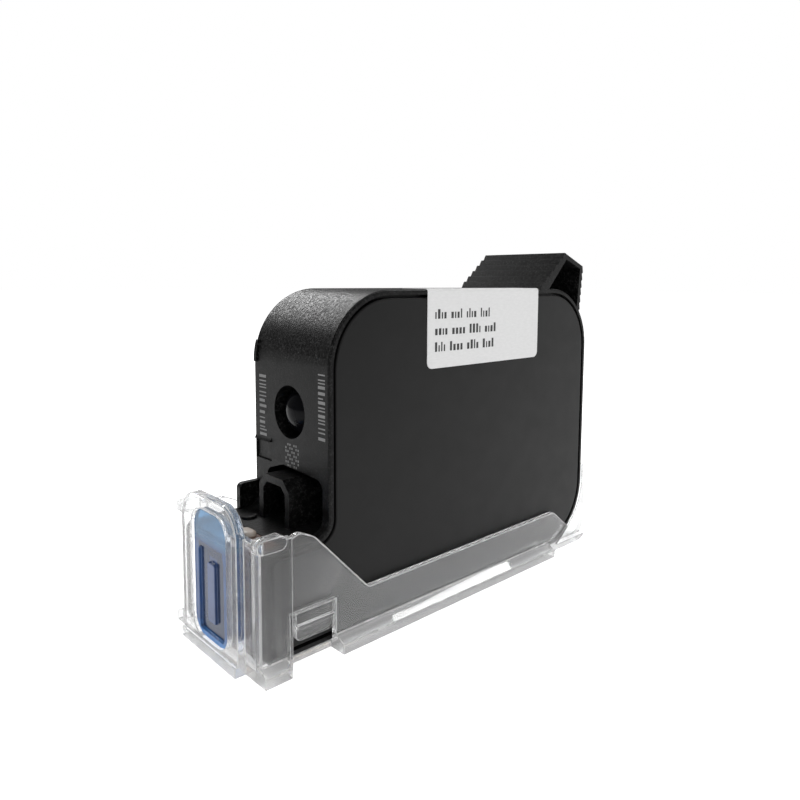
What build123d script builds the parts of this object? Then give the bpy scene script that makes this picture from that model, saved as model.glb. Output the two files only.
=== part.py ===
"""Half-inch ink cartridge of a date coder, resting in its clear nozzle guard.

Millimetres, +Z up. The origin is on the standing surface, under the middle of
the whole assembly. X runs along the cartridge with the nozzles at -X, and Y
runs across its thickness, so each "near" piece is on the -Y side.
"""
import os
from build123d import *

# --- cartridge shell -------------------------------------------------------
body_long = 72.0          # end face to rear face, along X
body_tall = 56.0          # underside to top face
body_thick = 22.0         # across, along Y
corner_r = 12.75          # big outer corners of the side view
shell_wall = 2.4          # moulded perimeter wall
snout_long = 12.0         # how far the nozzle end stands out of the end face
snout_tall = 17.3         # underside to the top of the snout
snout_r = 1.6             # outer corners of the snout
snout_least_r = 0.9       # same corners where the view is drawn inset
bight_r = 2.6             # inside corner between end face and snout
edge_r = 0.4              # softened long edges of the shell
rim_w = 0.9               # narrow rim left round each side cover
groove_w = 0.5            # open groove between rim and cover
cover_t = 1.2             # side cover thickness

# --- details of the end face -----------------------------------------------
port_r = 4.5              # fill port
port_above_base = 35.5    # port centre over the underside
port_boss_r = 6.2
port_boss_deep = 8.0
ball_squeeze = 0.05       # the ball is pressed in by this much, on radius
ball_inset = 4.6          # ball centre behind the end face
bay_deep = 3.6            # dark bay over the snout
bay_top = 26.2            # over the underside
bay_wall = 1.4            # wall behind the bay
bay_near_margin = 1.8
bay_far_reach = 7.0
bay_peak_y = 2.0          # the bay is tallest here and slopes off to both sides
bay_far_drop = 1.6
bay_near_drop = 0.6
bay_start = 1.0           # front of its back wall, inside the shell
key_w = 9.0               # hollow key over the snout, open towards -X
key_tall = 7.8
key_reach = 3.2           # in front of the end face
key_wall = 1.25
key_bevel = 1.9
tab_reach = 3.9           # thin tab on the far edge
tab_tall = 4.5
tab_t = 1.1
notch_low = 26.0          # shallow pocket by the far edge, over the underside
notch_tall = 3.4
notch_w = 5.4
notch_deep = 0.35
notch_rim = 0.45          # wall left between the pocket and the far side
ledge_tall = 0.75         # small sloped ledge along the top of the pocket
ledge_proud = 0.35
gate_low = 43.2           # small moulding pad on the far edge
gate_tall = 3.8
gate_w = 0.8
gate_t = 0.35
stub_r = 1.3              # low round stub on the snout
stub_tall = 0.4
stub_x = 5.0              # in front of the end face
stub_y = 5.2
root_bite = 0.4           # how far added details sink into the shell

# --- finger grip -----------------------------------------------------------
grip_foot = 17.4          # where the ribbed face leaves the top, from the rear face
grip_peak = 8.4
grip_back = 2.0
grip_rise = 7.4           # peak over the top face
grip_back_rise = 4.9
grip_root = 3.2           # where the back of the grip meets the big corner
grip_root_drop = 6.4
grip_skin = 0.95
grip_foot_skin = 2.0      # the ribbed face is thicker at its foot
rib_count = 6
rib_deep = 0.55
nick_count = 7
nick_deep = 0.3

# --- ink bag, plates and spring --------------------------------------------
slip = 0.15               # clearance of inner parts inside the shell
bag_wall = 1.8
bag_gap = 1.8             # between the inner frame and each cover
film_t = 0.2
plate_t = 0.5
plate_gap = 0.4           # plate behind its film
plate_margin = 4.0        # plate edge inside the inner frame's opening
plate_r = 8.0
bow_t = 0.35
bow_share = 0.7           # length of the bow spring over that of the plates
bow_w = 16.0
screen_t = 0.3
neck_half = 5.0
neck_ease = 0.3           # keeps the neck clear of the snout's rounded inner corners
neck_lap = 0.5            # overlap of the neck into the inner frame's ring

# --- nozzle end ------------------------------------------------------------
flex_t = 0.2
flex_w = 16.0
flex_sink = 0.3           # recess of the flex circuit in the shell
flex_under = 25.5         # run under the cartridge, from the nozzle face
flex_over = 4.2           # tail on top of the snout
die_w = 4.4
die_tall = 13.8
die_t = 0.6
feed_w = 1.6              # ink feed slot behind the die
feed_tall = 12.7
bead_tall = 1.0
bead_proud = 0.3
pad_r = 0.62
pad_t = 0.05              # how far each contact stands out of the circuit
pad_start = 3.6           # first row, from the nozzle face
pad_rows = 13             # along X
pad_lines = 4             # across Y
pad_pitch = 1.65
pad_line_pitch = 3.6
stake_r = 1.05
stake_t = 0.7
stake_long = 3.4
stake_x = 3.0             # from the nozzle face
stake_y = -1.4

# --- label -----------------------------------------------------------------
label_left = 21.4         # from the end face
label_right = 18.4        # from the rear face
label_drop = 14.0         # down the near side
label_fold = 6.0          # over the top face
label_t = 0.12
label_r = 1.2

# --- clear guard -----------------------------------------------------------
guard_wall = 1.15
guard_floor = 1.2
side_gap = 0.15           # shell to guard arm
nose_gap = 0.7            # nozzle face to the guard's front wall
rear_gap = 0.15           # rear face to the guard's heel
arm_top = 8.8
hump_top = 21.0
hump_x = -6.4
hump_back_x = -3.6        # rear end of the hump, lower than its front
hump_back_drop = 1.3
slope_foot_x = 7.2        # foot of the slope behind the hump
slope_foot_drop = 0.35
arm_tail = 12.4           # end of the arm's straight top, from the rear face
tail_tip = 6.6            # the arm's pointed tail
tail_tip_z = 4.35
tail_foot = 12.6
box_wall = 1.45           # thicker walls round the nozzles
box_top = 20.8
box_rear = -8.0           # end of the thick walls, from the end face
box_corner_r = 1.1
rim_rise = 0.9            # top of the rounded bar over the thick walls
rim_lap = 0.4             # the bar stands this far in front of the front wall
foot_stop = 1.2           # the bar and the foot of the box stop before the window
rim_bar = 2.2             # rounded bar along the top of the thick walls
rim_bar_proud = 0.55
rail_out = 2.0            # foot rail beyond the arm
rail_low = 1.7
rail_high = 2.9
rail_start = 0.1
rail_stop = 14.5          # end of the rail, from the rear face
rail_root = 0.5           # how far rails sink into the arm
lip_proud = 0.5
shield_half = 8.7         # raised frame round the seal, half width
shield_top = 25.2
shield_proud = 1.3
shield_r = 4.6
heel_top = 17.0
heel_r = 4.0
heel_run = 8.0            # length of the floor moulded with the heel
gusset_t = 1.0

# --- nozzle seal and latch tongues -----------------------------------------
seal_half = 5.6
seal_low = 1.9
seal_top = 23.0
seal_r = 3.4
seal_sink = 0.4           # seal face behind the raised frame
seal_lip_w = 1.1
seal_lip_side = 1.7       # outside of the lip beyond the chip, on each side
seal_lip_end = 1.0        # the same above and below
seal_lip_gap = 0.25       # lip to the nozzle plate
seal_groove = 0.5
window_top = 8.6
window_end = 0.25         # from the end face
window_bite = 0.25        # cut into the edge of the floor
tongue_start = -7.3
tongue_end = -0.3
tongue_low = 4.1
tongue_r = 0.9
tongue_t = 1.0
tongue_play = 0.05
ridge_low = 6.1
ridge_tall = 0.7
ridge_proud = 0.45

# --- places worked out from the sizes --------------------------------------
arm_in = body_thick / 2 + side_gap
arm_out = arm_in + guard_wall
box_out = arm_in + box_wall
rail_y = arm_out + rail_out
front_in = -(snout_long + nose_gap)
front_out = front_in - guard_floor
shield_x = front_out - shield_proud
nose_x = shield_x - lip_proud
heel_in = body_long + rear_gap
heel_out = heel_in + guard_floor
END = -(nose_x + heel_out) / 2              # X of the end face in the part's frame
BASE = guard_floor                          # Z of the cartridge's underside
TOP = BASE + body_tall
SNOUT_TOP = BASE + snout_tall
HALF = body_thick / 2
REAR = END + body_long                      # X of the rear face
cover_inset = rim_w + groove_w
bag_half = max(HALF - cover_t - bag_gap, port_boss_r + slip)   # clears the boss of the port
heel_half = HALF

os.makedirs("parts", exist_ok=True)


def side_plane(y):
    """Plane seen from the near side: sketch X along X, sketch Y up, at this Y."""
    return Plane.XZ.offset(-y)


def cartridge_outline(inset):
    """Side view of the cartridge: a rounded box with the snout low at its left."""
    tip = END - snout_long + inset
    left = END + inset
    right = END + body_long - inset
    low, high = BASE + inset, TOP - inset
    brow = SNOUT_TOP - inset
    big = corner_r - inset
    small = max(snout_r - inset, snout_least_r)
    with BuildSketch() as outline:
        with BuildLine():
            FilletPolyline(
                (tip, low), (right, low), (right, high), (left, high), (left, brow), (tip, brow),
                radius=[small, big, big, big, bight_r + inset, small],
                close=True,
            )
        make_face()
    return outline.sketch


def block(x, y, z, mode=Mode.ADD):
    """Box that spans three (low, high) pairs, joined to the part being built."""
    size = [pair[1] - pair[0] for pair in (x, y, z)]
    middle = [(pair[1] + pair[0]) / 2 for pair in (x, y, z)]
    with Locations(tuple(middle)):
        Box(*size, mode=mode)


def twin_blocks(x, y, z, mode=Mode.ADD):
    """The same box on the near side and on the far side."""
    block(x, (-y[1], -y[0]), z, mode)
    block(x, y, z, mode)


def ribbed_line(start, end, teeth, depth):
    """Points of a saw-tooth edge from start to end, its steps facing left of the way."""
    run = Vector(*end) - Vector(*start)
    side = Vector(-run.Y, run.X).normalized() * depth
    points = []
    for i in range(teeth):
        foot = Vector(*start) + run * (i / teeth)
        crest = Vector(*start) + run * ((i + 0.72) / teeth) + side
        lip = Vector(*start) + run * ((i + 0.86) / teeth) + side
        points += [(p.X, p.Y) for p in (foot, crest, lip)]
    return points


def save(piece, name):
    """Label the finished piece and write its own file."""
    piece.part.label = name
    export_step(piece.part, f"parts/{name}.step")


# ============================ cartridge shell ==============================
foot = (REAR - grip_foot, TOP - 0.1)
peak = (REAR - grip_peak, TOP + grip_rise)
back = (REAR - grip_back, TOP + grip_back_rise)
root = (REAR - grip_root, TOP - grip_root_drop)
big_centre = (REAR - corner_r, TOP - corner_r)

with BuildPart() as shell:
    with BuildSketch(Plane.XZ):
        add(cartridge_outline(0))
    extrude(amount=HALF, both=True)
    fillet(shell.edges().filter_by(Plane.XZ), radius=edge_r)
    # the finger grip: a thin ribbed ring that stands on the top rear corner
    with BuildSketch(Plane.XZ):
        with BuildLine():
            Polyline(
                *ribbed_line(foot, peak, rib_count, rib_deep), peak,
                *ribbed_line(back, root, nick_count, nick_deep), root, big_centre, foot,
                close=True,
            )
        make_face()
        with BuildLine():
            Polyline(
                (foot[0] + grip_foot_skin, TOP - 1.0),
                (peak[0] + 0.1, peak[1] - 1.2 * grip_skin),
                (back[0] - grip_skin, back[1] - 0.6 * grip_skin),
                (root[0] - 0.75 * grip_skin, root[1] + 1.5),
                big_centre,
                close=True,
            )
        make_face(mode=Mode.SUBTRACT)
    extrude(amount=HALF, both=True)
    # hollow inside, open on both sides
    with BuildSketch(Plane.XZ):
        add(cartridge_outline(shell_wall))
    extrude(amount=HALF, both=True, mode=Mode.SUBTRACT)
    # rebates that take the side covers
    for y, way in ((HALF, 1), (-HALF, -1)):
        with BuildSketch(side_plane(y)):
            add(cartridge_outline(rim_w))
        extrude(amount=way * cover_t, mode=Mode.SUBTRACT)
    # fill port on its boss
    port_z = BASE + port_above_base
    with BuildSketch(Plane.YZ.offset(END + shell_wall - 0.2)):
        with Locations((0, port_z)):
            Circle(port_boss_r)
    extrude(amount=port_boss_deep - shell_wall)
    with BuildSketch(Plane.YZ.offset(END - 1)):
        with Locations((0, port_z)):
            Circle(port_r)
    extrude(amount=port_boss_deep + 2, mode=Mode.SUBTRACT)
    # shallow pocket with a ledge over it, and a small moulding pad, by the far edge
    notch_high = BASE + notch_low + notch_tall
    block((END, END + notch_deep), (HALF - notch_w, HALF - notch_rim),
          (BASE + notch_low, notch_high), mode=Mode.SUBTRACT)
    with BuildSketch(side_plane(HALF - edge_r)):
        with BuildLine():
            Polyline(
                (END + root_bite, notch_high), (END - ledge_proud, notch_high),
                (END, notch_high + ledge_tall), (END + root_bite, notch_high + ledge_tall),
                close=True,
            )
        make_face()
    extrude(amount=notch_w - edge_r)
    with BuildSketch(side_plane(HALF - edge_r)):
        add(cartridge_outline(-gate_t))
        with Locations((END, BASE + gate_low + gate_tall / 2)):
            Rectangle(2 * shell_wall, gate_tall, mode=Mode.INTERSECT)
        add(cartridge_outline(root_bite), mode=Mode.SUBTRACT)
    extrude(amount=gate_w)

with BuildPart() as bay_cut:
    # bay over the snout: its back wall is moulded behind it in the shell
    with BuildSketch(Plane.YZ.offset(END - bight_r)):
        with BuildLine():
            FilletPolyline(
                (-HALF + bay_near_margin, SNOUT_TOP), (bay_far_reach, SNOUT_TOP),
                (bay_far_reach, BASE + bay_top - bay_far_drop), (bay_peak_y, BASE + bay_top),
                (-HALF + bay_near_margin, BASE + bay_top - bay_near_drop),
                radius=[0.6, 0.6, 1.6, 2.0, 1.8],
                close=True,
            )
        make_face()
    extrude(amount=bight_r + bay_deep)

with BuildPart() as bay_back:
    block((END + bay_start, END + bay_deep + bay_wall), (-HALF + cover_t, HALF - cover_t),
          (SNOUT_TOP - shell_wall, BASE + bay_top + bay_wall + root_bite))

with BuildPart() as key:
    # hollow key: an arch of thin walls, open towards the nozzles
    with BuildSketch(Plane.YZ.offset(END - key_reach)):
        with BuildLine():
            Polyline(
                (-key_w / 2, SNOUT_TOP), (-key_w / 2, SNOUT_TOP + key_tall - key_bevel),
                (-key_w / 2 + key_bevel, SNOUT_TOP + key_tall),
                (key_w / 2 - key_bevel, SNOUT_TOP + key_tall),
                (key_w / 2, SNOUT_TOP + key_tall - key_bevel), (key_w / 2, SNOUT_TOP),
                close=True,
            )
        make_face()
        offset(amount=-key_wall, kind=Kind.INTERSECTION, mode=Mode.SUBTRACT)
        with Locations((0, SNOUT_TOP + key_wall / 2)):
            Rectangle(key_w - 2 * key_wall, key_wall + 0.02, mode=Mode.SUBTRACT)
    extrude(amount=key_reach + bay_deep + root_bite)
    # thin tab on the far edge and the low stub on the snout
    with BuildSketch(side_plane(HALF)):
        with BuildLine():
            FilletPolyline(
                (END + root_bite, SNOUT_TOP - root_bite), (END - tab_reach, SNOUT_TOP - root_bite),
                (END - tab_reach, SNOUT_TOP + tab_tall), (END + root_bite, SNOUT_TOP + tab_tall),
                radius=[0, 0, 0.9, 0],
                close=True,
            )
        make_face()
        add(cartridge_outline(rim_w), mode=Mode.SUBTRACT)
    extrude(amount=tab_t)
    with BuildSketch(Plane.XY.offset(SNOUT_TOP - 0.2)):
        with Locations((END - stub_x, stub_y)):
            Circle(stub_r)
    extrude(amount=stub_tall + 0.2)


def flex_sleeve(outer, inner):
    """Side view of a thin skin round the nose, between two insets of the shell."""
    nose = END - snout_long
    with BuildSketch() as sleeve:
        add(cartridge_outline(outer))
        add(cartridge_outline(inner), mode=Mode.SUBTRACT)
        with BuildLine():
            Polyline(
                (nose - 1, BASE - 1), (nose + flex_under, BASE - 1), (nose + flex_under, BASE + 2),
                (nose + flex_over, BASE + 2), (nose + flex_over, SNOUT_TOP + 1), (nose - 1, SNOUT_TOP + 1),
                close=True,
            )
        make_face(mode=Mode.INTERSECT)
    return sleeve.sketch


with BuildPart() as frame:
    add(shell.part)
    add(bay_back.part)
    add(bay_cut.part, mode=Mode.SUBTRACT)
    add(key.part)
    # recess of the flex circuit, seat of the nozzle chip and its ink feed
    with BuildSketch(Plane.XZ):
        add(flex_sleeve(-0.5, flex_sink))
    extrude(amount=flex_w / 2 + slip, both=True, mode=Mode.SUBTRACT)
    mid_z = BASE + snout_tall / 2
    with BuildSketch(Plane.YZ.offset(END - snout_long)):
        with Locations((0, mid_z)):
            Rectangle(die_w + 2 * slip, die_tall + 2 * slip)
    extrude(amount=flex_sink + die_t, mode=Mode.SUBTRACT)
    with BuildSketch(Plane.YZ.offset(END - snout_long)):
        with Locations((0, mid_z)):
            SlotOverall(feed_tall, feed_w, rotation=90)
    extrude(amount=shell_wall + 1, mode=Mode.SUBTRACT)
save(frame, "frame")

# ============================ side covers ==================================
with BuildPart() as side_cover_near:
    with BuildSketch(side_plane(-HALF + cover_t)):
        add(cartridge_outline(cover_inset))
    extrude(amount=cover_t)
    fillet(side_cover_near.faces().sort_by(Axis.Y)[0].edges(), radius=0.25)
save(side_cover_near, "side_cover_near")

with BuildPart() as side_cover_far:
    add(mirror(side_cover_near.part, about=Plane.XZ, mode=Mode.PRIVATE))
save(side_cover_far, "side_cover_far")

# ============================ ink bag ======================================
bag_out = shell_wall + slip
bag_in = bag_out + bag_wall


def bag_outline(inset):
    """Side view of the inner frame, which stops behind the bay's back wall."""
    left = END + bay_deep + bay_wall + inset - shell_wall
    right = END + body_long - inset
    low, high = BASE + inset, TOP - inset
    big = corner_r - inset
    with BuildSketch() as outline:
        with BuildLine():
            FilletPolyline(
                (left, low), (right, low), (right, high), (left, high),
                radius=[1.5, big, big, big],
                close=True,
            )
        make_face()
    return outline.sketch


with BuildPart() as bag_frame:
    with BuildSketch(Plane.XZ):
        add(bag_outline(bag_out))
        add(bag_outline(bag_in), mode=Mode.SUBTRACT)
    extrude(amount=bag_half, both=True)
    # neck that carries the ink into the snout, open on both sides for the screens
    neck = (END - snout_long + bag_out + neck_ease, END + bay_deep + bay_wall + slip + neck_lap)
    throat = (BASE + bag_out + neck_ease, SNOUT_TOP - bag_out)
    block(neck, (-neck_half, neck_half), throat)
    inner = (throat[0] + bag_wall, throat[1] - bag_wall)
    block((neck[0] + bag_wall, neck[1] + 3), (-neck_half, neck_half), inner, Mode.SUBTRACT)
    block((neck[0] - 1, neck[0] + bag_wall + 1), (-feed_w / 2, feed_w / 2), inner, Mode.SUBTRACT)
    # clearance round the fill port's boss
    with BuildSketch(Plane.YZ.offset(END)):
        with Locations((0, port_z)):
            Circle(port_boss_r + slip)
    extrude(amount=port_boss_deep + 1, mode=Mode.SUBTRACT)
save(bag_frame, "bag_frame")

with BuildPart() as bag_film_near:
    with BuildSketch(side_plane(-bag_half)):
        add(bag_outline(bag_out + 0.2))
    extrude(amount=film_t)
save(bag_film_near, "bag_film_near")

with BuildPart() as bag_film_far:
    add(mirror(bag_film_near.part, about=Plane.XZ, mode=Mode.PRIVATE))
save(bag_film_far, "bag_film_far")

plate_out = bag_half - plate_gap                # outer face of each plate, from the middle
plate_left = END + bay_deep + bay_wall + bag_in - shell_wall + plate_margin + port_boss_deep / 2
plate_right = END + body_long - bag_in - plate_margin
plate_low = BASE + bag_in + plate_margin
plate_high = TOP - bag_in - plate_margin
plate_mid = ((plate_left + plate_right) / 2, (plate_low + plate_high) / 2)
with BuildPart() as pressure_plate_near:
    with BuildSketch(side_plane(-plate_out + plate_t)):
        with Locations(plate_mid):
            RectangleRounded(plate_right - plate_left, plate_high - plate_low, plate_r)
    extrude(amount=plate_t)
save(pressure_plate_near, "pressure_plate_near")

with BuildPart() as pressure_plate_far:
    add(mirror(pressure_plate_near.part, about=Plane.XZ, mode=Mode.PRIVATE))
save(pressure_plate_far, "pressure_plate_far")

# bow spring: two shallow bows that meet at their ends and push the plates apart
bow_reach = plate_out - plate_t - 0.05
bow_long = bow_share * (plate_right - plate_left)
with BuildPart() as bow_spring:
    with BuildSketch(Plane.XY.offset(plate_mid[1] - bow_w / 2)):
        with Locations((plate_mid[0], 0)):
            Ellipse(bow_long / 2, bow_reach)
            Ellipse(bow_long / 2 - bow_t, bow_reach - bow_t, mode=Mode.SUBTRACT)
    extrude(amount=bow_w)
save(bow_spring, "bow_spring")

screen_x = (neck[0] + bag_wall / 2, neck[1] - neck_lap - slip)
screen_z = (throat[0] + bag_wall / 2, throat[1] - bag_wall / 2)
with BuildPart() as filter_screen_near:
    block(screen_x, (-neck_half - screen_t, -neck_half), screen_z)
save(filter_screen_near, "filter_screen_near")

with BuildPart() as filter_screen_far:
    add(mirror(filter_screen_near.part, about=Plane.XZ, mode=Mode.PRIVATE))
save(filter_screen_far, "filter_screen_far")

with BuildPart() as fill_ball:
    with Locations((END + ball_inset, 0, port_z)):
        Sphere(port_r + ball_squeeze)
save(fill_ball, "fill_ball")

# ============================ nozzle end ===================================
nose = END - snout_long
with BuildPart() as flex_circuit:
    with BuildSketch(Plane.XZ):
        add(flex_sleeve(flex_sink - flex_t, flex_sink))
    extrude(amount=flex_w / 2, both=True)
    with BuildSketch(Plane.YZ.offset(nose)):
        with Locations((0, mid_z)):
            Rectangle(die_w + 2 * slip, die_tall + 2 * slip)
    extrude(amount=flex_sink, mode=Mode.SUBTRACT)
save(flex_circuit, "flex_circuit")

with BuildPart() as printhead_die:
    with BuildSketch(Plane.YZ.offset(nose + flex_sink)):
        with Locations((0, mid_z)):
            Rectangle(die_w, die_tall)
            SlotOverall(feed_tall - 1, feed_w / 2, rotation=90, mode=Mode.SUBTRACT)
    extrude(amount=die_t)
save(printhead_die, "printhead_die")

with BuildPart() as orifice_plate:
    with BuildSketch(Plane.YZ.offset(nose + flex_sink - flex_t)):
        with Locations((0, mid_z)):
            Rectangle(die_w, die_tall)
    extrude(amount=flex_t)
save(orifice_plate, "orifice_plate")

# sealing beads over the leads at both ends of the nozzle plate
with BuildPart() as encapsulant_beads:
    with BuildSketch(Plane.YZ.offset(nose + flex_sink - flex_t)):
        with Locations((0, mid_z - die_tall / 2), (0, mid_z + die_tall / 2)):
            SlotOverall(die_w + 0.6, bead_tall)
    extrude(amount=-bead_proud)
save(encapsulant_beads, "encapsulant_beads")

with BuildPart() as contact_pads:
    pads_mid = nose + pad_start + (pad_rows - 1) * pad_pitch / 2
    with BuildSketch(Plane.XY.offset(BASE + flex_sink - flex_t)):
        with Locations((pads_mid, 0)):
            with GridLocations(pad_pitch, pad_line_pitch, pad_rows, pad_lines):
                Circle(pad_r)
    extrude(amount=-pad_t)
save(contact_pads, "contact_pads")

with BuildPart() as flex_stake:
    with BuildSketch(Plane.XY.offset(SNOUT_TOP - flex_sink + flex_t)):
        with Locations((nose + stake_x, stake_y)):
            SlotOverall(stake_long, 2 * stake_r, rotation=90)
    extrude(amount=stake_t)
    fillet(flex_stake.faces().sort_by(Axis.Z)[-1].edges(), radius=0.5)
save(flex_stake, "flex_stake")

# ============================ label ========================================
with BuildPart() as label:
    label_long = body_long - label_left - label_right
    x_mid = END + label_left + label_long / 2
    with BuildSketch(side_plane(-HALF)):
        with Locations((x_mid, TOP - label_drop / 2 - edge_r / 2)):
            RectangleRounded(label_long, label_drop - edge_r, label_r)
        with Locations((x_mid, TOP - edge_r - label_r)):
            Rectangle(label_long, 2 * label_r)
    extrude(amount=label_t)
    with BuildSketch(Plane.XY.offset(TOP)):
        with Locations((x_mid, -HALF + edge_r + label_fold / 2)):
            Rectangle(label_long, label_fold)
    extrude(amount=label_t)
    # the fold follows the softened edge of the shell
    with BuildSketch(Plane.YZ.offset(x_mid - label_long / 2)):
        with Locations((-HALF + edge_r, TOP - edge_r)):
            Circle(edge_r + label_t)
            Circle(edge_r, mode=Mode.SUBTRACT)
        with Locations((-HALF + edge_r + 1, TOP - edge_r), (-HALF + edge_r, TOP - edge_r - 1)):
            Rectangle(2, 2, mode=Mode.SUBTRACT)
    extrude(amount=label_long)
save(label, "label")

# ============================ clear guard ==================================


def arm_outline():
    """Side view of one arm: hump by the nozzles, slope, long low edge, pointed tail."""
    with BuildSketch() as outline:
        with BuildLine():
            FilletPolyline(
                (END + box_rear - 2, 0), (END + box_rear - 2, box_top - 1.0),
                (END + hump_x, hump_top), (END + hump_back_x, hump_top - hump_back_drop),
                (END + slope_foot_x, arm_top - slope_foot_drop),
                (REAR - arm_tail, arm_top), (REAR - tail_tip, tail_tip_z), (REAR - tail_foot, 0),
                radius=[0, 0.5, 1.5, 2.5, 0.8, 1.6, 0.4, 0],
                close=True,
            )
        make_face()
    return outline.sketch


with BuildPart() as guard_shell:
    # floor, arms and foot rails
    block((END + front_in, END + heel_out), (-arm_out, arm_out), (0, guard_floor))
    for inner_y in (-arm_in, arm_out):
        with BuildSketch(side_plane(inner_y)):
            add(arm_outline())
        extrude(amount=guard_wall)
    for start, stop in ((rail_start, body_long - rail_stop), (front_out, box_rear - foot_stop)):
        with BuildSketch(Plane.YZ.offset(END + start)):
            for side in (-1, 1):
                with BuildLine():
                    Polyline(
                        (side * (arm_out - rail_root), 0), (side * rail_y, 0), (side * rail_y, rail_low),
                        (side * (arm_out - rail_root), rail_high),
                        close=True,
                    )
                make_face()
        extrude(amount=stop - start)
    # thick box round the nozzles: two side walls and the front wall, with rounded corners
    with BuildSketch(Plane.XY):
        with BuildLine():
            FilletPolyline(
                (END + front_out, -box_out), (END + box_rear, -box_out), (END + box_rear, -arm_in),
                (END + front_in, -arm_in), (END + front_in, arm_in), (END + box_rear, arm_in),
                (END + box_rear, box_out), (END + front_out, box_out),
                radius=[box_corner_r, 0, 0, 0, 0, 0, 0, box_corner_r],
                close=True,
            )
        make_face()
    extrude(amount=box_top)
    bar_long = box_rear - foot_stop - front_out + rim_lap
    for side in (-1, 1):
        with BuildSketch(side_plane(side * arm_in)):
            with Locations((END + front_out - rim_lap + bar_long / 2, box_top + rim_rise - rim_bar / 2)):
                SlotOverall(bar_long, rim_bar)
        extrude(amount=-side * (box_wall + rim_bar_proud))
    # raised frame that holds the seal, with its lip at the foot
    with BuildSketch(Plane.YZ.offset(END + shield_x)):
        with BuildLine():
            FilletPolyline(
                (-shield_half, 0), (shield_half, 0), (shield_half, shield_top), (-shield_half, shield_top),
                radius=[0, 0, shield_r, shield_r],
                close=True,
            )
        make_face()
    extrude(amount=shield_proud + 0.3)
    block((END + nose_x, END + front_in), (-shield_half, shield_half), (0, rail_low))
    with BuildSketch(Plane.YZ.offset(END + nose_x)):
        with Locations((0, (seal_low + seal_top) / 2)):
            RectangleRounded(2 * seal_half, seal_top - seal_low, seal_r)
    extrude(amount=front_in - nose_x, mode=Mode.SUBTRACT)
    # heel: rear wall, rounded foot and three gussets under the big corner
    with BuildSketch(Plane.XZ):
        with BuildLine():
            FilletPolyline(
                (END + heel_in - heel_run, 0), (END + heel_out, 0), (END + heel_out, heel_top),
                (END + heel_in, heel_top), (END + heel_in, guard_floor),
                (END + heel_in - heel_run, guard_floor),
                radius=[0, heel_r, 0.5, 0.5, heel_r - guard_wall, 0],
                close=True,
            )
        make_face()
    extrude(amount=heel_half, both=True)
    for y in (-heel_half + gusset_t / 2, 0, heel_half - gusset_t / 2):
        with BuildSketch(side_plane(y)):
            with Locations((END + heel_in - corner_r / 2 + 0.3, guard_floor + corner_r / 2 - 0.3)):
                Rectangle(corner_r, corner_r)
            add(cartridge_outline(-2 * slip), mode=Mode.SUBTRACT)
        extrude(amount=gusset_t / 2, both=True)
    # square corner left outside the rounded foot of the heel
    with BuildSketch(Plane.XZ):
        with Locations((END + heel_out - heel_r / 2, heel_r / 2)):
            Rectangle(heel_r, heel_r)
        with Locations((END + heel_out - heel_r, heel_r)):
            Circle(heel_r, mode=Mode.SUBTRACT)
    extrude(amount=heel_half + 5, both=True, mode=Mode.SUBTRACT)
    # windows of the two latch tongues, cut through arm and floor edge
    twin_blocks((END + box_rear, END + window_end), (arm_in - window_bite, rail_y + 1),
                (-1, window_top), Mode.SUBTRACT)
save(guard_shell, "guard_shell")

with BuildPart() as latch_tongue_near:
    with BuildSketch(side_plane(-arm_out + tongue_t)):
        with BuildLine():
            FilletPolyline(
                (END + tongue_start, tongue_low), (END + tongue_end, tongue_low),
                (END + tongue_end, window_top - tongue_play), (END + tongue_start, window_top - tongue_play),
                radius=[tongue_r, tongue_r, 0, 0],
                close=True,
            )
        make_face()
    extrude(amount=tongue_t)
    block((END + tongue_start, END + tongue_end), (-arm_out - ridge_proud, -arm_out + 0.2),
          (ridge_low, ridge_low + ridge_tall))
save(latch_tongue_near, "latch_tongue_near")

with BuildPart() as latch_tongue_far:
    add(mirror(latch_tongue_near.part, about=Plane.XZ, mode=Mode.PRIVATE))
save(latch_tongue_far, "latch_tongue_far")

# seal: a soft block in the raised frame, with a lip ring that faces the nozzles
seal_face = END + shield_x + seal_sink
with BuildPart() as nozzle_seal:
    with BuildSketch(Plane.YZ.offset(seal_face)):
        with Locations((0, (seal_low + seal_top) / 2)):
            RectangleRounded(2 * seal_half, seal_top - seal_low, seal_r)
    extrude(amount=END + front_in - seal_face)
    fillet(nozzle_seal.faces().sort_by(Axis.X)[0].edges(), radius=0.4)
    lip_out = (die_w / 2 + seal_lip_side, die_tall / 2 + seal_lip_end)
    with BuildSketch(Plane.YZ.offset(END + front_in - 0.1)):
        with Locations((0, mid_z)):
            RectangleRounded(2 * lip_out[0], 2 * lip_out[1], 1.5)
            RectangleRounded(2 * (lip_out[0] - seal_lip_w), 2 * (lip_out[1] - seal_lip_w), 0.8,
                             mode=Mode.SUBTRACT)
    extrude(amount=nose_gap - seal_lip_gap + 0.1)
    # the face is dished round a raised middle bar, which shows as a rectangular ring
    with BuildSketch(Plane.YZ.offset(seal_face)):
        with Locations((0, mid_z)):
            RectangleRounded(2 * lip_out[0], 2 * lip_out[1] - 2.0, 1.0)
            RectangleRounded(2.4, 2 * lip_out[1] - 6.0, 0.5, mode=Mode.SUBTRACT)
    extrude(amount=seal_groove, mode=Mode.SUBTRACT)
save(nozzle_seal, "nozzle_seal")
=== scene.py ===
"""Looks of the date coder's ink cartridge in its clear nozzle guard.

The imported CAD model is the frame. Lengths are in metres, apart from the printed
marks, which are laid out in millimetres. Places are worked out from the boxes of
the CAD nodes.
"""
import math
import random

import bmesh
import bpy
from mathutils import Matrix, Vector


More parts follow.
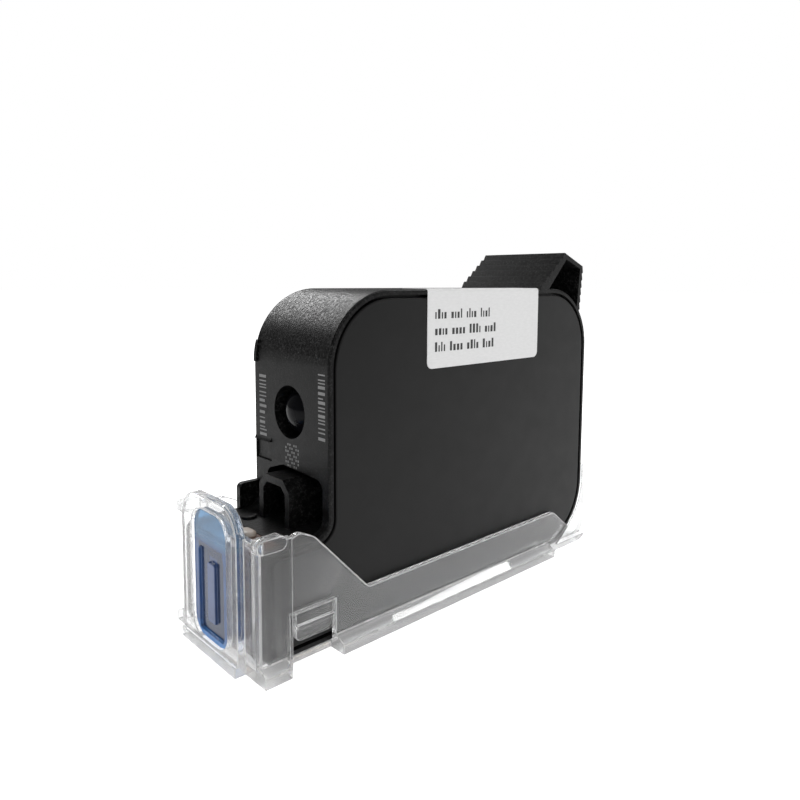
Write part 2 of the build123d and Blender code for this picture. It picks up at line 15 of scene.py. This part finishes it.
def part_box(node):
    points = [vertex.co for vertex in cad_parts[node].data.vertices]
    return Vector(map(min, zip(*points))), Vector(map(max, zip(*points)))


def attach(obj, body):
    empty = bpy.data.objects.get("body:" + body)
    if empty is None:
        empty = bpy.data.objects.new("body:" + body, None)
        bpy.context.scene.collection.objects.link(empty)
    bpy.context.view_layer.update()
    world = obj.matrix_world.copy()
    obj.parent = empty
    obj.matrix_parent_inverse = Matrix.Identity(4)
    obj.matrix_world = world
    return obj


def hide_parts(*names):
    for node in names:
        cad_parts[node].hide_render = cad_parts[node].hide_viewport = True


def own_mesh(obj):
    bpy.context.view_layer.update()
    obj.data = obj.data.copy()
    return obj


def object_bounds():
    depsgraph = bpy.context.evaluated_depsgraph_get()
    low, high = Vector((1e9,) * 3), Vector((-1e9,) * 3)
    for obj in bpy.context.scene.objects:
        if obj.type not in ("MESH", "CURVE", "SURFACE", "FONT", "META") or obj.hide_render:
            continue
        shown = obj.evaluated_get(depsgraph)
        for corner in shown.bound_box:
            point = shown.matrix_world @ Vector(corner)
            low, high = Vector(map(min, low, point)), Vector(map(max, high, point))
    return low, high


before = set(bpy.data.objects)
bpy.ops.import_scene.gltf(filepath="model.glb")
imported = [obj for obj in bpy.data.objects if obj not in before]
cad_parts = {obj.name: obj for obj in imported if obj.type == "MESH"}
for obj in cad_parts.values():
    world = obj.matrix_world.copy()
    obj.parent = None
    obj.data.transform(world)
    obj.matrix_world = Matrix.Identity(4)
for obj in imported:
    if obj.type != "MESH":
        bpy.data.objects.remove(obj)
cad_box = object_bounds()

MM = 0.001
WELD = 0.000002           # vertices closer than this are one
FLAT = math.radians(0.5)  # faces that meet at less than this are merged
SOFT = 0.0002             # half width of the fade round a shaded patch

# how far the sharp edges of each moulding are rounded off
FRAME_EDGE = 0.00014
GUARD_EDGE = 0.00015
TONGUE_EDGE = 0.0001
SEAL_EDGE = 0.0002
SPRING_EDGE = 0.00003
SEAL_SHRINK = 0.00003     # the rounded seal sits this far inside the CAD one

# nozzle seal: the ring of painted shade, where the black nozzle plate shows dark through the
# rubber, and the bar in its middle, from the seal's foot
RING_HALF_WIDTH = 0.0038
RING_FOOT, RING_TOP = 0.0012, 0.0155
BAR_HALF_WIDTH = 0.0012
BAR_FOOT, BAR_TOP = 0.0032, 0.0136

# printed marks, in millimetres from the end face and the cartridge's underside
INK = 0.012               # half thickness of a mark
STROKE_GAP = 0.34
WORD_GAP = 0.95
PRINT_LEFT = 23.3
PRINT_FEET = (50.8, 47.9, 44.95)
PRINT_WORDS = (4, 4, 4, 4)
NEAR_LADDER = (1.0, 2.8, 32.2, 43.0)      # low and high Y from the near face, low and high Z
FAR_LADDER = (7.1, 9.3, 30.2, 40.6)       # low and high Y from the middle, low and high Z
HATCH_Y, HATCH_Z = -2.7, 26.2
HATCH_CELLS, HATCH_PITCH = 7, 0.6

# soft lights: name, place from the middle of the object, size, power in watts
SOFTBOXES = (
    ("key", (-0.25, -0.4, 0.42), (0.3, 0.3), 0.8),
    ("side", (0.5, -0.35, 0.12), (0.35, 0.35), 0.35),
    ("back", (0.02, 0.45, 0.32), (0.4, 0.06), 1.5),
    ("top", (0.05, 0.0, 0.6), (0.4, 0.4), 1.2),
    ("rail", (0.36, -0.04, 0.38), (0.12, 0.12), 0.8),
)
FLOOR_DROP = 0.0002       # the floor lies this far under the object
SURROUND_SEEN = 1.0       # background as the camera and clear parts see it
SURROUND_MIRRORED = 0.25  # background as it lights and reflects in the rest

CAMERA_PLACE = (-0.0915, -0.0947, 0.0585)
CAMERA_HEADING, CAMERA_DIP, CAMERA_ROLL = (math.radians(a) for a in (47.15, 5.44, 0.3))
CAMERA_LENS, CAMERA_SENSOR, CAMERA_SHIFT = 30.6, 36.0, -0.0669


# ------------------------------------------------------------ node helpers
class Shader:
    """A material's node tree, with short calls for the nodes used here."""

    def __init__(self, name):
        self.material = bpy.data.materials.new(name)
        self.material.use_nodes = True
        self.tree = self.material.node_tree
        self.bsdf = self.tree.nodes["Principled BSDF"]
        self.coords = self.tree.nodes.new("ShaderNodeTexCoord").outputs["Object"]

    def node(self, kind, **settings):
        made = self.tree.nodes.new(kind)
        for key, value in settings.items():
            setattr(made, key, value)
        return made

    def link(self, source, target):
        self.tree.links.new(source, target)

    def set(self, **values):
        """Sets the shader's own sockets; underscores stand for spaces."""
        for key, value in values.items():
            self.bsdf.inputs[key.replace("_", " ")].default_value = value

    def stretched(self, scale):
        """Object coordinates, scaled separately along X, Y and Z."""
        mapping = self.node("ShaderNodeMapping")
        mapping.inputs["Scale"].default_value = scale
        self.link(self.coords, mapping.inputs["Vector"])
        return mapping.outputs["Vector"]

    def noise(self, scale, detail=4.0, rough=0.55, distortion=0.0, stretch=(1, 1, 1)):
        made = self.node("ShaderNodeTexNoise")
        made.inputs["Scale"].default_value = scale
        made.inputs["Detail"].default_value = detail
        made.inputs["Roughness"].default_value = rough
        made.inputs["Distortion"].default_value = distortion
        self.link(self.stretched(stretch), made.inputs["Vector"])
        return made.outputs["Fac"]

    def along(self, axis, low, high):
        """0 at low and 1 at high along one axis of the object, in metres."""
        parts = self.node("ShaderNodeSeparateXYZ")
        self.link(self.coords, parts.inputs[0])
        made = self.node("ShaderNodeMapRange")
        made.inputs["From Min"].default_value = low
        made.inputs["From Max"].default_value = high
        self.link(parts.outputs[axis], made.inputs["Value"])
        return made.outputs["Result"]

    def within(self, spans):
        """1 inside a box given by (axis, low, high) spans in metres, with softened sides."""
        inside = None
        for axis, low, high in spans:
            rise = self.along(axis, low - SOFT, low + SOFT)
            fall = self.along(axis, high + SOFT, high - SOFT)
            both = self.maths("MULTIPLY", rise, fall)
            inside = both if inside is None else self.maths("MULTIPLY", inside, both)
        return inside

    def waves(self, scale, direction):
        """Even sine bands across one direction."""
        made = self.node("ShaderNodeTexWave", bands_direction=direction, wave_profile="SIN")
        made.inputs["Scale"].default_value = scale
        self.link(self.coords, made.inputs["Vector"])
        return made.outputs["Fac"]

    def ramp(self, source, stops):
        """Colour ramp; each stop is (position, grey or (r, g, b))."""
        made = self.node("ShaderNodeValToRGB")
        elements = made.color_ramp.elements
        while len(elements) < len(stops):
            elements.new(0.5)
        for element, (place, shade) in zip(elements, stops):
            element.position = place
            rgb = shade if isinstance(shade, tuple) else (shade,) * 3
            element.color = (*rgb, 1)
        self.link(source, made.inputs["Fac"])
        return made.outputs["Color"]

    def maths(self, operation, first, second=None):
        made = self.node("ShaderNodeMath", operation=operation)
        for socket, value in zip(made.inputs, (first, second)):
            if value is None:
                continue
            if isinstance(value, (int, float)):
                socket.default_value = value
            else:
                self.link(value, socket)
        return made.outputs["Value"]

    def mix(self, factor, first, second, blend="MIX"):
        made = self.node("ShaderNodeMix", data_type="RGBA", blend_type=blend)
        sockets = [s for s in made.inputs if s.type == "RGBA"]
        for socket, value in zip((made.inputs[0], *sockets), (factor, first, second)):
            if isinstance(value, (int, float)) and socket.type == "VALUE":
                socket.default_value = value
            elif isinstance(value, (int, float)):
                socket.default_value = (value, value, value, 1)
            elif isinstance(value, tuple):
                socket.default_value = (*value, 1)
            else:
                self.link(value, socket)
        return [o for o in made.outputs if o.type == "RGBA"][0]

    def colour(self, source):
        self.link(source, self.bsdf.inputs["Base Color"])

    def roughness(self, source):
        self.link(source, self.bsdf.inputs["Roughness"])

    def bump(self, *layers):
        """Stacks bumps; each layer is (height output, strength, distance in metres)."""
        normal = None
        for height, strength, distance in layers:
            made = self.node("ShaderNodeBump")
            made.inputs["Strength"].default_value = strength
            made.inputs["Distance"].default_value = distance
            self.link(height, made.inputs["Height"])
            if normal is not None:
                self.link(normal, made.inputs["Normal"])
            normal = made.outputs["Normal"]
        self.link(normal, self.bsdf.inputs["Normal"])


# --------------------------------------------------------------- materials
def moulded_black():
    """Black moulding with a fine spark-eroded grain, mottled in tone and gloss."""
    s = Shader("moulded_black")
    speckle = s.noise(2300, detail=5, rough=0.75)
    mottle = s.noise(330, detail=5, rough=0.65)
    fine = s.ramp(speckle, [(0.42, 0.0006), (0.52, 0.004), (0.62, 0.03)])
    broad = s.ramp(mottle, [(0.3, 0.3), (0.55, 0.75), (0.75, 1.0)])
    s.colour(s.mix(1.0, fine, broad, "MULTIPLY"))
    s.roughness(s.ramp(speckle, [(0.4, 0.3), (0.62, 0.6)]))
    s.set(Specular_IOR_Level=0.13)
    s.bump((mottle, 0.12, 0.00008), (s.noise(3600, detail=3), 0.45, 0.00005))
    return s.material


def satin_black():
    """Smooth satin cover plate with faint flow marks."""
    s = Shader("satin_black")
    flow = s.noise(40, detail=3, stretch=(1, 1, 2.5))
    s.colour(s.ramp(flow, [(0.3, 0.004), (0.7, 0.0055)]))
    s.roughness(s.ramp(s.noise(260, detail=5), [(0.3, 0.4), (0.7, 0.47)]))
    s.set(Specular_IOR_Level=0.16)
    s.bump((flow, 0.05, 0.00004), (s.noise(5200, detail=2), 0.16, 0.00002))
    return s.material


def clear_plastic():
    """Polished clear moulding, slightly hazy, with faint flow ripples."""
    s = Shader("clear_plastic")
    haze = s.noise(90, detail=4)
    s.colour(s.ramp(haze, [(0.3, (0.9, 0.905, 0.91)), (0.7, (0.93, 0.935, 0.94))]))
    s.roughness(s.ramp(s.noise(420, detail=4), [(0.4, 0.015), (0.75, 0.06)]))
    s.set(IOR=1.45, Transmission_Weight=0.99, Alpha=0.72)
    s.bump((s.noise(210, detail=2), 0.03, 0.0001))
    return s.material


def painted_edge_highlight():
    """Rounded edges of the clear mouldings, whiter and less clear than the rest: a painted
    highlight where the light gathers.
    """
    s = Shader("clear_edge_painted_highlight")
    s.colour(s.ramp(s.noise(300, detail=3), [(0.3, 0.5), (0.7, 0.68)]))
    s.roughness(s.ramp(s.noise(420, detail=4), [(0.4, 0.2), (0.75, 0.35)]))
    s.set(IOR=1.45, Transmission_Weight=0.35)
    return s.material


def blue_rubber():
    """Soft translucent blue seal with a cloudy body, with painted light and shade in its
    blue.
    """
    s = Shader("blue_rubber")
    cloud = s.noise(190, detail=4)
    low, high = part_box("nozzle_seal")
    up = s.along("Z", low.z, high.z)
    # painted light: the blue is lighter at the foot and in the top lobe, where light comes
    # through the rubber, and darker between
    shade = s.ramp(up, [(0.03, (0.08, 0.3, 0.75)), (0.12, (0.04, 0.1, 0.28)),
                        (0.74, (0.045, 0.11, 0.28)), (0.8, (0.13, 0.36, 0.64))])
    middle = (low.y + high.y) / 2
    # painted shade: the ring is darkened where the black nozzle plate shows through the
    # rubber; the bar in its middle keeps a lighter blue
    ring = s.within([("Y", middle - RING_HALF_WIDTH, middle + RING_HALF_WIDTH),
                     ("Z", low.z + RING_FOOT, low.z + RING_TOP)])
    bar = s.within([("Y", middle - BAR_HALF_WIDTH, middle + BAR_HALF_WIDTH),
                    ("Z", low.z + BAR_FOOT, low.z + BAR_TOP)])
    shade = s.mix(ring, shade, (0.03, 0.05, 0.11))
    shade = s.mix(bar, shade, (0.055, 0.1, 0.25))
    s.colour(s.mix(1.0, shade, s.ramp(cloud, [(0.3, 0.7), (0.7, 1.0)]), "MULTIPLY"))
    s.link(s.ramp(up, [(0.7, 0.12), (0.82, 0.7)]), s.bsdf.inputs["Transmission Weight"])
    s.roughness(s.ramp(s.noise(600, detail=3), [(0.3, 0.1), (0.7, 0.2)]))
    s.set(IOR=1.42)
    s.bump((s.noise(520, detail=3), 0.12, 0.00006))
    return s.material


def paper():
    """Matt label stock, faintly fibrous."""
    s = Shader("label_stock")
    fibre = s.noise(900, detail=5, stretch=(1, 1, 3))
    s.colour(s.ramp(fibre, [(0.3, 0.6), (0.7, 0.65)]))
    s.roughness(s.ramp(s.noise(500, detail=3), [(0.3, 0.5), (0.7, 0.62)]))
    s.bump((fibre, 0.12, 0.00002))
    return s.material


def brushed(name, colour, rough, stretch):
    """Metal drawn or rolled along one direction."""
    s = Shader(name)
    lines = s.noise(700, detail=5, rough=0.7, stretch=stretch)
    dark = tuple(c * 0.75 for c in colour)
    s.colour(s.ramp(lines, [(0.3, dark), (0.7, colour)]))
    s.roughness(s.ramp(lines, [(0.3, rough * 0.8), (0.7, rough * 1.3)]))
    s.set(Metallic=1.0)
    s.bump((lines, 0.15, 0.00002))
    return s.material


def plain(name, colour, rough, metal=0.0, grain=800, depth=0.00002):
    """Even surface with a fine grain and slight changes of tone and gloss."""
    s = Shader(name)
    dark = tuple(c * 0.8 for c in colour)
    s.colour(s.ramp(s.noise(grain * 0.4, detail=4), [(0.3, dark), (0.7, colour)]))
    gloss = [(0.3, rough * 0.85), (0.7, min(1.0, rough * 1.15))]
    s.roughness(s.ramp(s.noise(grain, detail=3), gloss))
    s.set(Metallic=metal)
    s.bump((s.noise(grain * 2, detail=2), 0.2, depth))
    return s.material


def woven_mesh():
    """Fine filter cloth of stainless wire."""
    s = Shader("woven_mesh")
    warp = s.waves(2600, "X")
    weft = s.waves(2600, "Z")
    weave = s.maths("MULTIPLY", warp, weft)
    s.colour(s.ramp(weave, [(0.1, 0.07), (0.6, 0.45)]))
    s.set(Metallic=1.0, Roughness=0.4)
    s.bump((weave, 0.5, 0.00005))
    return s.material


# ------------------------------------------------------------------ pieces
def dress(material, *nodes):
    """Gives CAD nodes a material in place of the one that they came with."""
    for name in nodes:
        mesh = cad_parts[name].data
        mesh.materials.clear()
        mesh.materials.append(material)


def refined(node, body, material, width, segments=2, sharp=28.0, shrink=0.0,
            edge=None, clamp=True):
    """Copy of a CAD node with its sharp edges rounded off, shown in its place.

    edge is a second material for the rounded edges. clamp holds every rounding
    to what the shortest edge of the mesh allows.
    """
    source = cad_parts[node]
    mesh = source.data.copy()
    mesh.name = node + "_refined"
    bm = bmesh.new()
    bm.from_mesh(mesh)
    bmesh.ops.remove_doubles(bm, verts=bm.verts, dist=WELD)
    bmesh.ops.dissolve_limit(bm, angle_limit=FLAT, verts=bm.verts, edges=bm.edges)
    if shrink:
        bm.normal_update()
        for vert, inward in [(v, v.normal * shrink) for v in bm.verts]:
            vert.co -= inward
    limit = math.radians(sharp)
    edges = [e for e in bm.edges if len(e.link_faces) == 2 and e.calc_face_angle(0.0) > limit]
    bmesh.ops.bevel(
        bm, geom=edges, offset=width, offset_type="OFFSET", segments=segments,
        profile=0.5, affect="EDGES", clamp_overlap=clamp, harden_normals=False,
        material=1 if edge else -1,
    )
    for face in bm.faces:
        face.smooth = True
    mesh.materials.clear()
    mesh.materials.append(material)
    if edge:
        mesh.materials.append(edge)
    bm.to_mesh(mesh)
    bm.free()
    piece = bpy.data.objects.new(node + "_fine", mesh)
    bpy.context.scene.collection.objects.link(piece)
    weighted = piece.modifiers.new("weighted", "WEIGHTED_NORMAL")
    weighted.keep_sharp = False
    weighted.weight = 80
    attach(piece, body)
    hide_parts(node)
    return piece


def slabs(name, body, material, boxes):
    """Thin raised patches of print, each given by its (low, high) corners in millimetres."""
    bm = bmesh.new()
    for low, high in boxes:
        made = bmesh.ops.create_cube(bm, size=1.0)
        size = [(b - a) * MM for a, b in zip(low, high)]
        middle = [(a + b) / 2 * MM for a, b in zip(low, high)]
        bmesh.ops.scale(bm, vec=size, verts=made["verts"])
        bmesh.ops.translate(bm, vec=middle, verts=made["verts"])
    mesh = bpy.data.meshes.new(name)
    bm.to_mesh(mesh)
    bm.free()
    mesh.materials.append(material)
    piece = bpy.data.objects.new(name, mesh)
    bpy.context.scene.collection.objects.link(piece)
    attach(piece, body)
    return piece


# places of the printed marks, in millimetres in the frame
end_x = (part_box("frame")[0].x + 0.012) / MM          # X of the end face
base_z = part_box("frame")[0].z / MM                   # Z of the cartridge's underside
near_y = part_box("frame")[0].y / MM
draw = random.Random(7)


def word_blocks(left, foot, lengths):
    """Illegible print: upright strokes grouped as words, along X on the near face."""
    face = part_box("label")[0].y / MM
    boxes, x = [], left
    for count in lengths:
        for _ in range(count):
            tall = draw.choice((1.15, 1.15, 1.2, 1.7))
            wide = draw.choice((0.34, 0.55, 0.62))
            boxes.append(((x, face - INK, foot), (x + wide, face + INK, foot + tall)))
            x += wide + STROKE_GAP
        x += WORD_GAP
    return boxes


def ladder(low_y, high_y, low_z, high_z):
    """Column of laser ticks across Y on the end face."""
    boxes, z = [], low_z
    while z < high_z:
        tall = draw.choice((0.22, 0.22, 0.5))
        inset = draw.choice((0.0, 0.0, 0.5))
        boxes.append(((end_x - INK, low_y + inset, z), (end_x + INK, high_y, z + tall)))
        z += tall + draw.choice((0.3, 0.45, 0.62))
    return boxes


def hatch(low_y, low_z, cells, pitch):
    """Square of regular laser dots on the end face."""
    dot = pitch * 0.6
    return [
        ((end_x - INK, low_y + i * pitch, low_z + j * pitch),
         (end_x + INK, low_y + i * pitch + dot, low_z + j * pitch + dot))
        for i in range(cells) for j in range(cells) if (i + 2 * j) % 3
    ]


black = moulded_black()
refined("frame", "cartridge", black, FRAME_EDGE)
dress(satin_black(), "side_cover_near", "side_cover_far")
# the rounded edges of the clear parts get a painted highlight: a whiter, less clear material
clear, edge = clear_plastic(), painted_edge_highlight()
refined("guard_shell", "guard", clear, GUARD_EDGE, edge=edge, clamp=False)
refined("latch_tongue_near", "near_latch", clear, TONGUE_EDGE, edge=edge)
refined("latch_tongue_far", "far_latch", clear, TONGUE_EDGE, edge=edge)
refined("nozzle_seal", "guard", blue_rubber(), SEAL_EDGE, shrink=SEAL_SHRINK)
dress(paper(), "label")
ball = plain("ball_dark", (0.003, 0.003, 0.004), 0.09)
ball.node_tree.nodes["Principled BSDF"].inputs["Specular IOR Level"].default_value = 0.07
dress(ball, "fill_ball")
dress(plain("amber_film", (0.06, 0.02, 0.008), 0.3, depth=0.00001), "flex_circuit")
dress(plain("bead_white", (0.42, 0.36, 0.31), 0.35), "flex_stake")
dress(plain("bead_black", (0.012, 0.012, 0.012), 0.45), "encapsulant_beads")
dress(plain("contact_gold", (0.9, 0.62, 0.22), 0.25, metal=1.0), "contact_pads")
dress(plain("nozzle_foil", (0.75, 0.55, 0.3), 0.28, metal=1.0, grain=1500), "orifice_plate")
dress(plain("silicon", (0.12, 0.12, 0.14), 0.2, metal=0.4), "printhead_die")
dress(plain("natural_plastic", (0.5, 0.5, 0.47), 0.5), "bag_frame")
dress(plain("metal_film", (0.72, 0.73, 0.75), 0.22, metal=0.9, grain=120, depth=0.0002),
      "bag_film_near", "bag_film_far")
dress(brushed("plate_steel", (0.6, 0.6, 0.61), 0.3, (1, 8, 8)),
      "pressure_plate_near", "pressure_plate_far")
bow = refined("bow_spring", "cartridge",
              brushed("spring_steel", (0.48, 0.48, 0.5), 0.32, (8, 8, 1)), SPRING_EDGE)
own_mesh(bow)
dress(woven_mesh(), "filter_screen_near", "filter_screen_far")

print_black = plain("print_black", (0.012, 0.012, 0.013), 0.5)
laser_grey = plain("laser_grey", (0.2, 0.2, 0.2), 0.7)
slabs("label_print", "cartridge", print_black,
      [box for foot in PRINT_FEET
       for box in word_blocks(end_x + PRINT_LEFT, base_z + foot, PRINT_WORDS)])
near_low, near_high, near_foot, near_top = NEAR_LADDER
far_low, far_high, far_foot, far_top = FAR_LADDER
slabs("laser_marks", "cartridge", laser_grey,
      ladder(near_y + near_low, near_y + near_high, base_z + near_foot, base_z + near_top)
      + ladder(far_low, far_high, base_z + far_foot, base_z + far_top)
      + hatch(HATCH_Y, base_z + HATCH_Z, HATCH_CELLS, HATCH_PITCH))


# ------------------------------------------------------------------- stage
def build_stage():
    """Pale floor and soft studio lights, with darker surroundings for the black sides."""
    low, high = cad_box
    centre = (low + high) / 2
    bpy.ops.mesh.primitive_plane_add(size=8, location=(0, 0, low.z - FLOOR_DROP))
    floor = bpy.context.object
    floor.name = "floor"
    s = Shader("floor_white")
    s.set(Base_Color=(0.8, 0.8, 0.8, 1), Roughness=0.95)
    s.set(Emission_Color=(1, 1, 1, 1), Emission_Strength=0.85)
    floor.data.materials.append(s.material)

    def softbox(name, place, size, power):
        data = bpy.data.lights.new(name, "AREA")
        data.shape = "RECTANGLE"
        data.size, data.size_y = size
        data.energy = power
        light = bpy.data.objects.new(name, data)
        light.location = centre + Vector(place)
        light.rotation_euler = (centre - light.location).to_track_quat("-Z", "Y").to_euler()
        light.visible_camera = False
        bpy.context.scene.collection.objects.link(light)

    for light_facts in SOFTBOXES:
        softbox(*light_facts)

    world = bpy.data.worlds.new("studio")
    world.use_nodes = True
    tree = world.node_tree
    seen = tree.nodes["Background"]
    seen.inputs["Color"].default_value = (1, 1, 1, 1)
    seen.inputs["Strength"].default_value = SURROUND_SEEN
    mirrored = tree.nodes.new("ShaderNodeBackground")
    mirrored.inputs["Color"].default_value = (1, 1, 1, 1)
    mirrored.inputs["Strength"].default_value = SURROUND_MIRRORED
    path = tree.nodes.new("ShaderNodeLightPath")
    either = tree.nodes.new("ShaderNodeMath")
    either.operation = "MAXIMUM"
    tree.links.new(path.outputs["Is Camera Ray"], either.inputs[0])
    tree.links.new(path.outputs["Is Transmission Ray"], either.inputs[1])
    mixed = tree.nodes.new("ShaderNodeMixShader")
    tree.links.new(either.outputs[0], mixed.inputs[0])
    tree.links.new(mirrored.outputs[0], mixed.inputs[1])
    tree.links.new(seen.outputs[0], mixed.inputs[2])
    tree.links.new(mixed.outputs[0], tree.nodes["World Output"].inputs["Surface"])
    bpy.context.scene.world = world


def build_camera():
    """Camera low in front of the nozzle end, on the labelled side."""
    data = bpy.data.cameras.new("camera")
    data.sensor_width = CAMERA_SENSOR
    data.lens = CAMERA_LENS
    data.shift_y = CAMERA_SHIFT
    data.clip_start = 0.005
    camera = bpy.data.objects.new("camera", data)
    camera.location = CAMERA_PLACE
    level = math.cos(CAMERA_DIP)
    ahead = Vector((math.cos(CAMERA_HEADING) * level, math.sin(CAMERA_HEADING) * level,
                    -math.sin(CAMERA_DIP)))
    turn = ahead.to_track_quat("-Z", "Y").to_matrix() @ Matrix.Rotation(CAMERA_ROLL, 3, "Z")
    camera.rotation_euler = turn.to_euler()
    bpy.context.scene.collection.objects.link(camera)
    bpy.context.scene.camera = camera


build_stage()
build_camera()

scene = bpy.context.scene
scene.view_settings.view_transform = "Standard"
